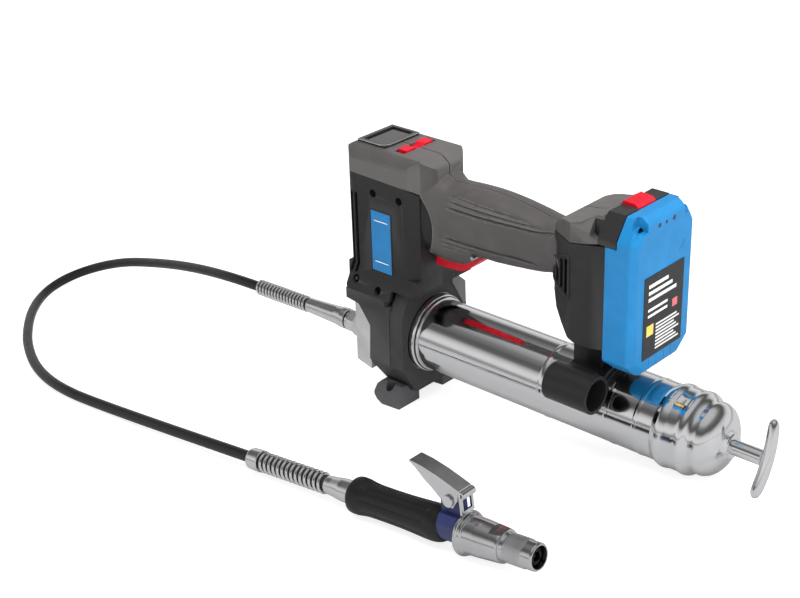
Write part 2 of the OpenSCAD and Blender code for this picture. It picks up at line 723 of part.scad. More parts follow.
// The hose leaves the pump, swings round on the ground and comes back beside the gun
loop_turn = [-492, -9, -101];
hose_path = let (
    a = outlet_at + 2 * run_dir,
    b = outlet_at + guard_end * run_dir,
    c = [-406, 25, -67],
    e = [-396, -117, -90.5],
    f = [-249, -166, -76],
    g = on_coupler(-206),
    h = on_coupler(-112))
    concat([a, (a + b) / 2],
        [for (i = [0:9]) cubic(b, b + 70 * run_dir, c + [60, 0, 16], c, i / 10)],
        [for (i = [0:9]) cubic(c, c - [42, 0, 11], loop_turn + [0, 26, 3], loop_turn, i / 10)],
        [for (i = [0:9]) cubic(loop_turn, loop_turn - [0, 35, 5], e - [42, -30, 3], e, i / 10)],
        [for (i = [0:9]) cubic(e, e + [50, -32, 4], f - [55, 0, 4], f, i / 10)],
        [for (i = [0:5]) cubic(f, f + [60, 0, 5.5], g - 50 * back_dir, g, i / 6)],
        [g, h]);

module grease_hose() color(black_rubber) sweep(hose_path, hose_d / 2, 12);

// Places its children on the drooping axis of the pump end, which runs along their -X
module pump_end() translate(outlet_at) rotate([0, -droop, 0]) children();

// Places its children on the coupler axis, with coupler_at at their origin
module coupler_frame() translate(coupler_at) rotate([0, -coupler_tilt, 0]) children();

module outlet_fitting() color(steel) difference() {
    union() {
        rod_x(outlet_x - 0.1, -75.2, 6.45, 0, outlet_z);
        translate([outlet_x - 8.5, 0, outlet_z]) rotate([0, 90, 0]) cylinder(h = 8.4, r = 9.6, $fn = 6);
        rod_x(outlet_x - 11.5, outlet_x - 8.5, 8, 0, outlet_z);
    }
    rod_x(outlet_x - 20, -70, 2.5, 0, outlet_z);
}

// The crimped sleeves that hold the hose at its two ends
module hose_ferrules() color(steel) {
    bore = hose_d / 2 + 0.15;
    pump_end() turned([[-guard_start, bore], [-guard_start, 6.2], [-guard_start + 4, 6.3], [-14, 7.6],
        [-6, 8.7], [-0.6, 8.7], [-0.6, bore]]);
    coupler_frame() turned([[-125, bore], [-125, 6.6], [-119, 7], [-110, 8.2], [-97.5, 8.7], [-97.5, bore]]);
}

// The coiled guards: rows of close turns on a thin liner, with an end collar on the long one
module guard(x0, x1, turns, d) {
    bore = hose_d / 2 + 0.15;
    wire = (x1 - x0) / turns / 2;
    rise = d / 2 - 5.2;
    turned(concat([[x0, bore]],
        [for (i = [0:turns - 1]) for (q = [[0, 0], [0.5, 1], [1.5, 1], [2, 0]])
            [x0 + (2 * i + q[0]) * wire, 5.2 + rise * q[1]]],
        [[x1, bore]]));
}
module hose_guards() color(steel) {
    pump_end() guard(-guard_end, -guard_start - 0.3, 16, guard_d);
    coupler_frame() guard(-193, -125.3, 14, long_guard_d);
    coupler_frame() turned([[-207, 4.55], [-207, 5.6], [-205, 7.9], [-193.3, 8.3], [-193.3, 4.55]]);
}

// ---------- coupler ----------

grip_x = [-97.2, -12];
lever_pivot = [-3, 24.6];
lever_half = 6.2;
sheet = 1.5;

// The rubber grip with a flared rear lip and eight lengthwise ridges
module coupler_grip() color(black_rubber) coupler_frame() {
    turned([[grip_x[0], 6], [grip_x[0], 12.2], [grip_x[0] + 2, 13.2], [grip_x[0] + 8, 13.2],
        [grip_x[0] + 16, grip_d / 2 - 0.5], [grip_x[1] - 35, grip_d / 2 - 0.5],
        [grip_x[1] - 15, 12.8], [grip_x[1] - 7, 12.8], [grip_x[1] - 3, 12], [grip_x[1], 9.6], [grip_x[1], 6]]);
    for (i = [0:7]) rotate([45 * i, 0, 0]) translate([0, 0, grip_d / 2 - 1.2])
        block([grip_x[0] + 14, -1.6, 0], [grip_x[1] - 12, 1.6, 1.6]);
}
// The saddle over the front of the grip, with the ear that carries the lever
module coupler_block() color(navy) coupler_frame() difference() {
    union() {
        along_x(grip_x[1] + 0.1, 3.6) polygon(both_sides([
            [5.6, -7.5], [9.2, -4], [11.6, 2], [11.6, 8.4], [7.5, 14]]));
        along_y(-4.5, 4.5) polygon([[grip_x[1] + 0.1, 8], [3.6, 8], [3.6, 26], [1, 30], [-7, 30], [-11.9, 22]]);
    }
    rod_y(-20, 20, 1.8 + slip, lever_pivot[0], lever_pivot[1]);
    rod_x(-40, 20, 5.55);
}
module lever_pin() color(steel) coupler_frame() {
    rod_y(-6.4, 6.4, 1.8, lever_pivot[0], lever_pivot[1]);
    rod_y(-8.2, -6.4, 4.4, lever_pivot[0], lever_pivot[1]);
    rod_y(6.4, 7.6, 3.2, lever_pivot[0], lever_pivot[1]);
}

// The pressed-steel lever: a channel with a cranked tip, a window frame in front and a rolled lip
module coupler_lever() color(steel) coupler_frame() difference() {
    union() {
        // top plate
        along_y(-lever_half, lever_half) polygon([[-34.5, 46.4], [-24, 44.6], [-11, 40.8], [6.8, 34],
            [7.8, 32.1], [6, 32.1], [-11, 39.1], [-24.4, 43], [-34.5, 44.8]]);
        // side skirts
        for (side = [-1, 1]) along_y(min(side * lever_half, side * (lever_half - sheet)),
            max(side * lever_half, side * (lever_half - sheet))) polygon([[-34.5, 45.2], [-24, 43.8], [-11, 40],
            [6.2, 33], [4.8, 26.4], [0, 19.7], [-6, 19.7], [-9, 23.1], [-16.7, 30.2], [-23.3, 35.3], [-30, 42]]);
        // window frame over the nose's flange
        block([6, -lever_half, 16.2], [7.8, lever_half, 33.2]);
        // rolled lip
        translate([7.8, 0, 30.6]) rotate([90, 0, 0]) rotate([0, 0, -70]) translate([0, 0, -lever_half])
            linear_extrude(2 * lever_half) polygon(concat(arc(0, 0, 3, 0, 160), arc(0, 0, 1.5, 160, 0)));
    }
    block([4, -lever_half + 2, 18.6], [7.9, lever_half - 2, 29.6]);
    rod_y(-20, 20, 1.8 + slip, lever_pivot[0], lever_pivot[1]);
}

// The steel nose: core tube, flange, taper with a flat on top, and the tip sleeve
module coupler_nose() color(steel) coupler_frame() difference() {
    turned([[-97, 0], [-97, 5.5], [4, 5.5], [4, 15], [4.6, 15.6], [6.2, 15.6], [6.8, 14.4], [9, 14.4],
        [9.6, 13.3], [18, 13.1], [36, 11.8], [38, 11.6], [38, 10], [41, 9.6], [41.4, 10], [55.8, 10],
        [56, 9.6], [63.6, 9.6], [64.5, 8.8], [64.5, 0]]);
    rod_x(-98, 46, 2);
    rod_x(43.5, 67, 7.8);
    block([29, -20, 10.4], [41, 20, 20]);
}

// Four spring jaws round the nipple's head
module nozzle_jaws() color([0.12, 0.12, 0.13]) coupler_frame() difference() {
    turned([[48.5, jaw_r], [48.5, 7.6], [58.5, 7.6], [60.8, 6.6], [62.1, 4.6], [62.1, jaw_r]]);
    for (a = [0, 90]) rotate([a + 45, 0, 0]) block([46.5, -0.4, -10], [64.5, 0.4, 10]);
}

// ---------- output ----------

top_shell_left();
top_shell_right();
motor_case_left();
motor_case_right();
boot_front();
boot_rear();
side_guard();
pump_head();
foot_left();
foot_right();
name_plates();
display_bezel();
display_window();
display_board();
speed_switch();
trigger();
trigger_pin();
trigger_switch();
power_leads();
control_board();
motor_can();
motor_pinion();
gear_frame();
gear_bearings();
idler_gear();
crank_gear();
plunger();
plunger_seal();
check_ball();
check_spring();
vent_valve();
housing_screws();
battery_foot_left();
battery_foot_right();
terminal_block();
battery_case();
battery_front();
battery_cells();
battery_latch();
battery_label();
barrel_tube();
barrel_collar();
barrel_seal();
barrel_cap();
follower_cup();
follower_spring();
follower_rod();
t_handle();
hose_holder();
outlet_fitting();
hose_ferrules();
hose_guards();
grease_hose();
coupler_grip();
coupler_block();
coupler_lever();
lever_pin();
coupler_nose();
nozzle_jaws();
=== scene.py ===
import json
import math

import bmesh
import bpy
from mathutils import Matrix, Vector


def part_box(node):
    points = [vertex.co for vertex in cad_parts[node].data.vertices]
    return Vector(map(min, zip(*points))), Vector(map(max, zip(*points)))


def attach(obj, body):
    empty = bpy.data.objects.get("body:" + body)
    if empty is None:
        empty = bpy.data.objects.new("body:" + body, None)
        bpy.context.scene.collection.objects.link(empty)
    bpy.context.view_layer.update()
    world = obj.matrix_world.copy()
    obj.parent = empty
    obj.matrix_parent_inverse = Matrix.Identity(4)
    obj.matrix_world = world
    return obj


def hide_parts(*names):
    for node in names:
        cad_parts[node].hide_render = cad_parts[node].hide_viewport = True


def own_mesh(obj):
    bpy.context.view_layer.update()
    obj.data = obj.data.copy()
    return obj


# Looks of a cordless grease gun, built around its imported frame. Sizes are in millimetres in the frame of the
# part: the origin is on the barrel axis at the pump boot, +X runs along the barrel and +Z is up.

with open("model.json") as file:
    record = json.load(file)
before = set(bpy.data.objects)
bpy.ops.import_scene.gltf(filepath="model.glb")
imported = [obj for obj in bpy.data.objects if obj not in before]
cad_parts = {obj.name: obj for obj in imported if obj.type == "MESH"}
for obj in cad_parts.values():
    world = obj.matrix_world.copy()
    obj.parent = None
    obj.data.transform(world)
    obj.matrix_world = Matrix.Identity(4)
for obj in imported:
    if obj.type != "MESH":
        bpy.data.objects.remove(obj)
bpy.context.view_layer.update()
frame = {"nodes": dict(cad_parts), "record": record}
record = frame["record"]
MM = 0.001
SLOT_OF = {part["node"]: part["material_slot"] for part in record["subparts"]}
BODY_OF = {node: body for body, nodes in record["behaviour"]["bodies"].items() for node in nodes}


def low(node):
    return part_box(node)[0] / MM


def high(node):
    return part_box(node)[1] / MM


# ---------- materials ----------


class Nodes:
    """Short calls for wiring a node tree."""

    def __init__(self, tree):
        self.tree = tree
        self.tree.nodes.clear()

    def add(self, kind, inputs=None, **settings):
        node = self.tree.nodes.new(kind)
        for key, value in settings.items():
            setattr(node, key, value)
        for key, value in (inputs or {}).items():
            if isinstance(value, bpy.types.NodeSocket):
                self.tree.links.new(value, node.inputs[key])
            else:
                node.inputs[key].default_value = value
        return node

    def noise(self, where, size_mm, detail=3.0, stretch=(1, 1, 1)):
        """Noise between 0 and 1 whose features are about size_mm across."""
        scaled = self.add("ShaderNodeMapping", {"Vector": where, "Scale": [s / (size_mm * MM) for s in stretch]})
        return self.add("ShaderNodeTexNoise", {"Vector": scaled.outputs[0], "Scale": 1.0, "Detail": detail}).outputs[0]

    def spread(self, value, a, b):
        """Maps 0.3 to 0.7, where noise mostly lies, to the range a to b."""
        return self.add("ShaderNodeMapRange", {0: value, 1: 0.3, 2: 0.7, 3: a, 4: b}).outputs[0]

    def mix(self, factor, a, b):
        node = self.add("ShaderNodeMix", {0: factor}, data_type="RGBA")
        for key, value in ((6, a), (7, b)):
            if isinstance(value, bpy.types.NodeSocket):
                self.tree.links.new(value, node.inputs[key])
            else:
                node.inputs[key].default_value = (*value, 1)
        return node.outputs[2]


def finish_of(name, color, rough, metallic=0.0, grain=0.0, grain_mm=0.35, mottle=0.08, smudge=0.06,
              wear=0.0, coat=0.0, stretch=(1, 1, 1), scratch=0.0, level=0.5):
    """A surface with mottled colour, uneven gloss, a fine grain in relief and worn edges."""
    material = bpy.data.materials.new(name)
    material.use_nodes = True
    n = Nodes(material.node_tree)
    where = n.add("ShaderNodeTexCoord").outputs["Object"]
    darker = [c * (1 - mottle) for c in color]
    lighter = [min(1, c * (1 + mottle)) for c in color]
    base = n.mix(n.spread(n.noise(where, 14), 0, 1), darker, lighter)
    speck = n.noise(where, grain_mm * 1.6, 2.0, stretch)
    base = n.mix(n.spread(speck, 0, 0.35 * mottle + 0.05), base, [c * 0.7 for c in color])
    if wear:
        edge = n.add("ShaderNodeNewGeometry").outputs["Pointiness"]
        worn = n.add("ShaderNodeMapRange", {0: edge, 1: 0.52, 2: 0.62, 3: 0.0, 4: wear}).outputs[0]
        base = n.mix(worn, base, [min(1, c * 1.7 + 0.03) for c in color])
    gloss = n.spread(n.noise(where, 6, 4.0, stretch), max(0.02, rough - smudge), rough + smudge)
    relief = n.noise(where, grain_mm, 3.0, stretch)
    bump = n.add("ShaderNodeBump", {"Strength": grain, "Distance": 0.12 * MM, "Height": relief}).outputs[0]
    if scratch:
        lines = n.noise(where, 0.25, 2.0, (0.03, 1, 1))
        bump = n.add("ShaderNodeBump", {"Strength": scratch, "Distance": 0.03 * MM, "Height": lines,
                                        "Normal": bump}).outputs[0]
    shader = n.add("ShaderNodeBsdfPrincipled", {
        "Base Color": base, "Roughness": gloss, "Metallic": metallic, "Normal": bump, "Coat Weight": coat,
        "Coat Roughness": 0.08, "Specular IOR Level": level})
    n.add("ShaderNodeOutputMaterial", {"Surface": shader.outputs[0]})
    return material


FINISHES = {
    "light_grey_plastic": dict(color=(0.066, 0.061, 0.059), rough=0.46, grain=0.35, wear=0.35, level=0.35),
    "dark_grey_plastic": dict(color=(0.015, 0.014, 0.014), rough=0.46, grain=0.4, wear=0.5, level=0.3),
    "boot_rubber": dict(color=(0.027, 0.0255, 0.026), rough=0.5, grain=0.45, wear=0.5, level=0.3),
    "guard_plastic": dict(color=(0.13, 0.13, 0.13), rough=0.5, grain=0.35, wear=0.2, level=0.35),
    "foot_plastic": dict(color=(0.06, 0.06, 0.063), rough=0.5, grain=0.4, wear=0.35, level=0.3),
    "cast_alloy": dict(color=(0.62, 0.62, 0.615), rough=0.46, metallic=0.7, grain=0.5, grain_mm=0.5, smudge=0.1),
    "blue_plate": dict(color=(0.004, 0.15, 0.37), rough=0.34, grain=0.1, coat=0.15, level=0.3),
    "black_gloss": dict(color=(0.012, 0.012, 0.013), rough=0.16, grain=0.03, coat=0.5),
    "display_glass": dict(color=(0.01, 0.01, 0.012), rough=0.08, grain=0.01, coat=0.8),
    "circuit_board": dict(color=(0.02, 0.12, 0.05), rough=0.4, grain=0.2),
    "red_plastic": dict(color=(0.5, 0.006, 0.018), rough=0.42, grain=0.2, wear=0.1, level=0.15),
    "steel": dict(color=(0.55, 0.55, 0.56), rough=0.3, metallic=1.0, grain=0.15, scratch=0.3),
    "black_plastic": dict(color=(0.013, 0.0125, 0.0125), rough=0.4, grain=0.3, wear=0.4, level=0.3),
    "lead_insulation": dict(color=(0.5, 0.02, 0.02), rough=0.45, grain=0.15),
    "seal_rubber": dict(color=(0.02, 0.02, 0.02), rough=0.6, grain=0.3),
    "brass": dict(color=(0.7, 0.5, 0.2), rough=0.28, metallic=1.0, grain=0.1, scratch=0.2),
    "dark_steel": dict(color=(0.04, 0.04, 0.043), rough=0.35, metallic=1.0, grain=0.15),
    "blue_plastic": dict(color=(0.006, 0.165, 0.39), rough=0.4, grain=0.22, wear=0.2, level=0.3),
    "cell_wrap": dict(color=(0.05, 0.3, 0.2), rough=0.35, grain=0.1),
    "label_film": dict(color=(0.02, 0.02, 0.021), rough=0.4, grain=0.1, level=0.3),
    "chrome": dict(color=(0.84, 0.84, 0.85), rough=0.1, metallic=1.0, mottle=0.02, smudge=0.02, scratch=0.05),
    "plated_steel": dict(color=(0.78, 0.78, 0.79), rough=0.2, metallic=1.0, grain=0.1, mottle=0.04, scratch=0.2),
    "spring_steel": dict(color=(0.82, 0.82, 0.83), rough=0.16, metallic=1.0, grain=0.05, mottle=0.03),
    "hose_rubber": dict(color=(0.007, 0.007, 0.0075), rough=0.36, level=0.4, grain=0.3, grain_mm=0.5, coat=0.1),
    "grip_rubber": dict(color=(0.008, 0.0075, 0.008), rough=0.38, grain=0.4, wear=0.3, level=0.35),
    "navy_plastic": dict(color=(0.018, 0.025, 0.095), rough=0.35, metallic=0.2, grain=0.2, wear=0.3),
    "lever_chrome": dict(color=(0.74, 0.74, 0.75), rough=0.17, metallic=1.0, grain=0.02, mottle=0.03, scratch=0.06),
    "nose_chrome": dict(color=(0.66, 0.66, 0.67), rough=0.16, metallic=1.0, grain=0.02, mottle=0.03,
                        stretch=(12, 1, 1), scratch=0.05),
}
MATERIALS = {slot: finish_of(slot, **spec) for slot, spec in FINISHES.items()}
PRINT = finish_of("label_print", (0.7, 0.7, 0.68), 0.45, grain=0.05, mottle=0.05)
PRINT_RED = finish_of("label_red", (0.6, 0.12, 0.12), 0.45, grain=0.05)
PRINT_YELLOW = finish_of("label_yellow", (0.75, 0.52, 0.1), 0.45, grain=0.05)
LAMP = finish_of("lamp_dark", (0.004, 0.02, 0.07), 0.2, coat=0.4)
SCREW = finish_of("screw_black", (0.002, 0.002, 0.002), 0.7, grain=0.2, level=0.05)
FLAP = finish_of("flap_plastic", (0.017, 0.016, 0.016), 0.44, grain=0.4, wear=0.4, level=0.3)
SPECIAL = {"housing_screws": SCREW, "battery_front": FLAP}


# ---------- mesh helpers ----------


def link(name, mesh):
    obj = bpy.data.objects.new(name, mesh)
    bpy.context.scene.collection.objects.link(obj)
    return obj


def solid(name, verts, faces):
    """A closed mesh from points in millimetres."""
    mesh = bpy.data.meshes.new(name)
    mesh.from_pydata([[c * MM for c in v] for v in verts], [], faces)
    bm = bmesh.new()
    bm.from_mesh(mesh)
    bmesh.ops.recalc_face_normals(bm, faces=bm.faces)
    bm.to_mesh(mesh)
    bm.free()
    return link(name, mesh)


def settle(obj):
    """Applies an object's modifiers to its mesh."""
    bpy.context.view_layer.update()
    graph = bpy.context.evaluated_depsgraph_get()
    mesh = bpy.data.meshes.new_from_object(obj.evaluated_get(graph))
    obj.modifiers.clear()
    obj.data = mesh


def bevel(obj, width, segments=3, angle=30):
    edges = obj.modifiers.new("edges", "BEVEL")
    edges.width = width * MM
    edges.segments = segments
    edges.limit_method = "ANGLE"
    edges.angle_limit = math.radians(angle)
    settle(obj)
    return obj


def combine(obj, *others, operation="DIFFERENCE"):
    """Cuts other solids out of obj, or joins them to it, and removes them."""
    for other in others:
        step = obj.modifiers.new("combine", "BOOLEAN")
        step.operation = operation
        step.object = other
        step.solver = "EXACT"
        settle(obj)
        bpy.data.objects.remove(other)
    return obj


def rounded(points, radius, closed=False, steps=4):
    """A polyline with its corners rounded, each by at most radius."""
    out = []
    count = len(points)
    for i, p in enumerate(points):
        if not closed and i in (0, count - 1):
            out.append(tuple(p))
            continue
        here = Vector(p)
        back = Vector(points[i - 1]) - here
        ahead = Vector(points[(i + 1) % count]) - here
        reach = min(radius, back.length * 0.45, ahead.length * 0.45)
        a = here + back.normalized() * reach
        b = here + ahead.normalized() * reach
        for k in range(steps + 1):
            t = k / steps
            out.append(tuple(a * (1 - t) ** 2 + here * 2 * t * (1 - t) + b * t * t))
    return out


def lathe(name, profile, place=Matrix.Identity(4), steps=112):
    """A solid of revolution about X from a closed outline of (x, radius)."""
    verts = []
    for x, r in profile:
        for k in range(steps):
            a = 2 * math.pi * k / steps
            verts.append(place @ Vector((x, r * math.cos(a), r * math.sin(a))))
    count = len(profile)
    faces = [(i * steps + k, i * steps + (k + 1) % steps, ((i + 1) % count) * steps + (k + 1) % steps,
              ((i + 1) % count) * steps + k) for i in range(count) for k in range(steps)]
    return solid(name, verts, faces)


def tube(name, path, radius, sides=16):
    """A round bar along a path, with closed ends; radius is a number or a function of the share of the path."""
    points = [Vector(p) for p in path]
    ahead = (points[1] - points[0]).normalized()
    side = ahead.cross(Vector((0, 0, 1)) if abs(ahead.z) < 0.9 else Vector((1, 0, 0))).normalized()
    verts = []
    for i, p in enumerate(points):
        new = (points[min(i + 1, len(points) - 1)] - points[max(i - 1, 0)]).normalized()
        side = (side - new * side.dot(new)).normalized()
        up = new.cross(side)
        r = radius(i / (len(points) - 1)) if callable(radius) else radius
        for k in range(sides):
            a = 2 * math.pi * k / sides
            verts.append(p + side * (r * math.cos(a)) + up * (r * math.sin(a)))
    faces = [(i * sides + k, i * sides + (k + 1) % sides, (i + 1) * sides + (k + 1) % sides, (i + 1) * sides + k)
             for i in range(len(points) - 1) for k in range(sides)]
    faces += [tuple(range(sides)), tuple(range(len(verts) - sides, len(verts)))]
    return solid(name, verts, faces)


def box(name, a, b, place=Matrix.Identity(4)):
    verts = [place @ Vector((x, y, z)) for x in (a[0], b[0]) for y in (a[1], b[1]) for z in (a[2], b[2])]
    return solid(name, verts, [(0, 1, 3, 2), (4, 6, 7, 5), (0, 4, 5, 1), (2, 3, 7, 6), (0, 2, 6, 4), (1, 5, 7, 3)])


def prism(name, outline, axis, a, b, place=Matrix.Identity(4)):
    """An outline in the other two axes, drawn out along axis from a to b."""
    slots = {"x": (1, 2, 0), "y": (0, 2, 1), "z": (0, 1, 2)}[axis]
    verts = []
    for end in (a, b):
        for p in outline:
            v = [0, 0, 0]
            v[slots[0]], v[slots[1]], v[slots[2]] = p[0], p[1], end
            verts.append(place @ Vector(v))
    count = len(outline)
    faces = [(i, (i + 1) % count, count + (i + 1) % count, count + i) for i in range(count)]
    return solid(name, verts, faces + [tuple(range(count)), tuple(range(count, 2 * count))])


def carved(obj, planes):
    """Cuts a solid down by planes, each a point and an outward direction."""
    bm = bmesh.new()
    bm.from_mesh(obj.data)
    for point, outward in planes:
        parts = bm.verts[:] + bm.edges[:] + bm.faces[:]
        made = bmesh.ops.bisect_plane(bm, geom=parts, plane_co=Vector(point) * MM, plane_no=Vector(outward),
                                      clear_outer=True, dist=1e-7)
        rim = [g for g in made["geom_cut"] if isinstance(g, bmesh.types.BMEdge)]
        if rim:
            bmesh.ops.edgeloop_fill(bm, edges=rim)
    bmesh.ops.recalc_face_normals(bm, faces=bm.faces)
    bm.to_mesh(obj.data)
    bm.free()
    return obj


def refined(node, width=0.6, segments=3, angle=32):
    """A copy of a CAD node's solid with its edges rounded as a moulding's are."""
    obj = link(node + "_piece", frame["nodes"][node].data.copy())
    bm = bmesh.new()
    bm.from_mesh(obj.data)
    bmesh.ops.remove_doubles(bm, verts=bm.verts, dist=0.004 * MM)
    bmesh.ops.dissolve_limit(bm, angle_limit=math.radians(1.5), verts=bm.verts, edges=bm.edges)
    bmesh.ops.recalc_face_normals(bm, faces=bm.faces)
    bm.to_mesh(obj.data)
    bm.free()
    return bevel(obj, width, segments, angle)


def paint(obj, material):
    obj.data.materials.clear()
    obj.data.materials.append(material)


def place(obj, *nodes, body=None, slot=None, material=None, sharp=38, stands=True):
    """Gives a piece its finish and its body, and lets it stand for CAD nodes."""
    slot = slot or SLOT_OF[nodes[0]]
    paint(obj, material or MATERIALS[slot])
    obj.data.shade_smooth()
    obj.data.set_sharp_from_angle(angle=math.radians(sharp))
    weighted = obj.modifiers.new("even", "WEIGHTED_NORMAL")
    weighted.keep_sharp = True
    settle(obj)
    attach(obj, body or BODY_OF[nodes[0]])
    if stands and nodes:
        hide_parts(*nodes)
    return obj


def curve_through(points, x):
    """Height at x of a smooth curve through points sorted by x."""
    for i in range(len(points) - 1):
        (x0, y0), (x1, y1) = points[i], points[i + 1]
        if x <= x1 or i == len(points) - 2:
            before = points[max(i - 1, 0)]
            after = points[min(i + 2, len(points) - 1)]
            m0 = (y1 - before[1]) / max(x1 - before[0], 1e-6) * (x1 - x0)
            m1 = (after[1] - y0) / max(after[0] - x0, 1e-6) * (x1 - x0)
            t = min(max((x - x0) / (x1 - x0), 0), 1)
            return ((2 * t**3 - 3 * t**2 + 1) * y0 + (t**3 - 2 * t**2 + t) * m0
                    + (3 * t**2 - 2 * t**3) * y1 + (t**3 - t**2) * m1)


def step_up(x, a, b):
    t = min(max((x - a) / (b - a), 0), 1)
    return t * t * (3 - 2 * t)


# ---------- light grey shell: cap, handle and knuckle ----------

SEAM = 0.32
HANDLE_TOP = [(8, 140), (13, 139), (18.3, 136), (23, 133.7), (30, 133.7), (44, 134.5), (63, 134.6), (82, 133.2),
              (100, 130.6), (116, 127.6), (122, 128.5), (129, 133), (136, 139)]
HANDLE_LOW = [(8, 74), (16, 72), (20, 70.5), (34, 71), (44, 75), (54, 81.6), (71, 82.9), (90, 84.8), (112, 88),
              (136, 95)]
HANDLE_HALF = [(8, 25.5), (13, 23.6), (19, 21.4), (26, 20.2), (40, 19.8), (70, 19.2), (100, 18.6), (118, 19.2),
               (127, 21), (136, 24.5)]
GROOVES = [  # (line as x, z points, where it fades in, where it fades out, depth)
    ([(26, 119), (61, 119.4), (97, 120.5), (115, 121.6), (137, 128)], (24, 34), (128, 138), 1.5),
    ([(26, 123.4), (61, 123.2), (97, 123.4), (115, 124)], (24, 34), (96, 116), 1.2),
    ([(26, 127.4), (61, 126.6), (97, 126), (115, 126)], (24, 36), (80, 108), 0.9),
    ([(20, 95.4), (61, 95), (98, 97), (118, 97)], (20, 30), (102, 118), 1.4),
    ([(20, 91.2), (61, 91.6), (98, 95)], (20, 30), (44, 62), 1.0),
    ([(20, 87.2), (61, 88.4)], (20, 30), (34, 50), 0.8),
]


def ring_around(half, low_z, high_z, count):
    """Evenly spaced points round a section with soft corners."""
    mid, reach, power = (high_z + low_z) / 2, (high_z - low_z) / 2, 2 / 2.9
    fine = []
    for k in range(961):
        a = 2 * math.pi * k / 960
        c, s = math.cos(a), math.sin(a)
        fine.append((half * math.copysign(abs(c) ** power, c), mid + reach * math.copysign(abs(s) ** power, s)))
    runs = [0.0]
    for p, q in zip(fine, fine[1:]):
        runs.append(runs[-1] + math.dist(p, q))
    points, i = [], 0
    for k in range(count):
        goal = runs[-1] * k / count
        while runs[i + 1] < goal:
            i += 1
        t = (goal - runs[i]) / (runs[i + 1] - runs[i])
        points.append((fine[i][0] * (1 - t) + fine[i + 1][0] * t, fine[i][1] * (1 - t) + fine[i + 1][1] * t))
    return points


def handle_loft(name, x0, x1, inset=0.0, ridged=True, stations=150, around=224):
    """The handle as a row of rounded sections along X, with grooves along its sides."""
    verts = []
    for i in range(stations):
        x = x0 + (x1 - x0) * i / (stations - 1)
        half = curve_through(HANDLE_HALF, x) - inset
        for y, z in ring_around(half, curve_through(HANDLE_LOW, x) + inset, curve_through(HANDLE_TOP, x) - inset,
                                around):
            if ridged and abs(y) > half * 0.6:
                for line, fade_in, fade_out, depth in GROOVES:
                    off = abs(z - curve_through(line, x)) / 1.45
                    if off < 1:
                        share = step_up(x, *fade_in) * (1 - step_up(x, *fade_out))
                        y -= math.copysign(1.45 * depth * share * (1 - off * off) ** 2, y)
            verts.append((x, y, z))
    faces = [(i * around + k, i * around + (k + 1) % around, (i + 1) * around + (k + 1) % around,
              (i + 1) * around + k) for i in range(stations - 1) for k in range(around)]
    faces += [tuple(range(around)), tuple(range(len(verts) - around, len(verts)))]
    return solid(name, verts, faces)


def root_bite(name):
    """The crescents bitten out of the two sides of the handle where it meets the case."""
    disc = [(-22 + 39 * math.cos(math.pi * k / 60), 99 + 39 * math.sin(math.pi * k / 60)) for k in range(120)]
    return [prism(name, disc, "y", *sorted((side * 15, side * 40))) for side in (-1, 1)]


def both(points):
    """The same planes on the left and the right."""
    return [((x, s * y, z), (a, s * b, c)) for (x, y, z), (a, b, c) in points for s in (-1, 1)]


def arc(cx, cz, r, start, end, steps=10):
    turns = [math.radians(start + (end - start) * k / steps) for k in range(steps + 1)]
    return [(cx + r * math.cos(t), cz + r * math.sin(t)) for t in turns]


def cap_block(name, inset=0.0):
    """The top cap: its side, front and plan outlines drawn through one another."""
    d = inset
    rear = rounded([(-50, 152 - d), (7, 151.3 - d), (11.7, 148.5 - d), (16 - d, 145.2 - d), (16 - d, 100)], 3.5)
    side = arc(-58, 145, 7 - d, 180, 90) + rear + [(-65 + d, 100)]
    front = arc(18, 141, 11 - d, 0, 90) + arc(-18, 141, 11 - d, 90, 180) + [(d - 29, 90), (29 - d, 90)]
    back = rounded([(-30, d - 29), (-4, d - 29), (8 - d, d - 24), (16 - d, d - 16), (16 - d, 16 - d), (8 - d, 24 - d),
                    (-4, 29 - d), (-30, 29 - d)], 5, steps=6)
    plan = arc(-56, -20, 9 - d, 180, 270) + back + arc(-56, 20, 9 - d, 90, 180)
    block = combine(prism(name, side, "y", -40, 40), prism("front", front, "x", -80, 30),
                    prism("plan", plan, "z", 80, 170), operation="INTERSECT")
    if inset:
        return block
    bevel(block, 0.8, 3, 24)
    below = [(-80, 60), (-80, 130.4), (-65, 130.3), (-4, 128.6), (3, 127.2), (10.4, 124.4), (30, 124.4), (30, 60)]
    return combine(block, prism("below", below, "y", -60, 60))


def knuckle_block(name, inset=0.0):
    side = [(127 + inset, 131), (131 + inset, 137.4 - inset), (138, 143 - inset), (144, 145 - inset),
            (151.5, 145.6 - inset), (158, 147.4 - inset), (168, 153.4 - inset), (176.2, 153.6 - inset), (176.2, 137),
            (163, 133.4), (151, 131)]
    planes = both([((134, 24 - inset, 140), (-6, 7.7, 0)), ((134, 24 - inset, 140), (-9, 17, 0)),
                   ((151, 33 - inset, 140), (-1, 18, 0)), ((150, 34 - inset, 143), (0, 9.6, 7)),
                   ((150, 27 - inset, 152.6), (0, 7.4, 15))])
    return carved(prism(name, side, "y", inset - 34, 34 - inset), planes)


def knuckle_pockets():
    """The C-shaped pockets in the rear corners of the knuckle."""
    outline = rounded([(168, 139.4), (168, 158.5), (181, 162), (181, 139.4)], 4.5, True, 6)
    return [prism("pocket", outline, "y", *sorted((side * 27, side * 45))) for side in (-1, 1)]


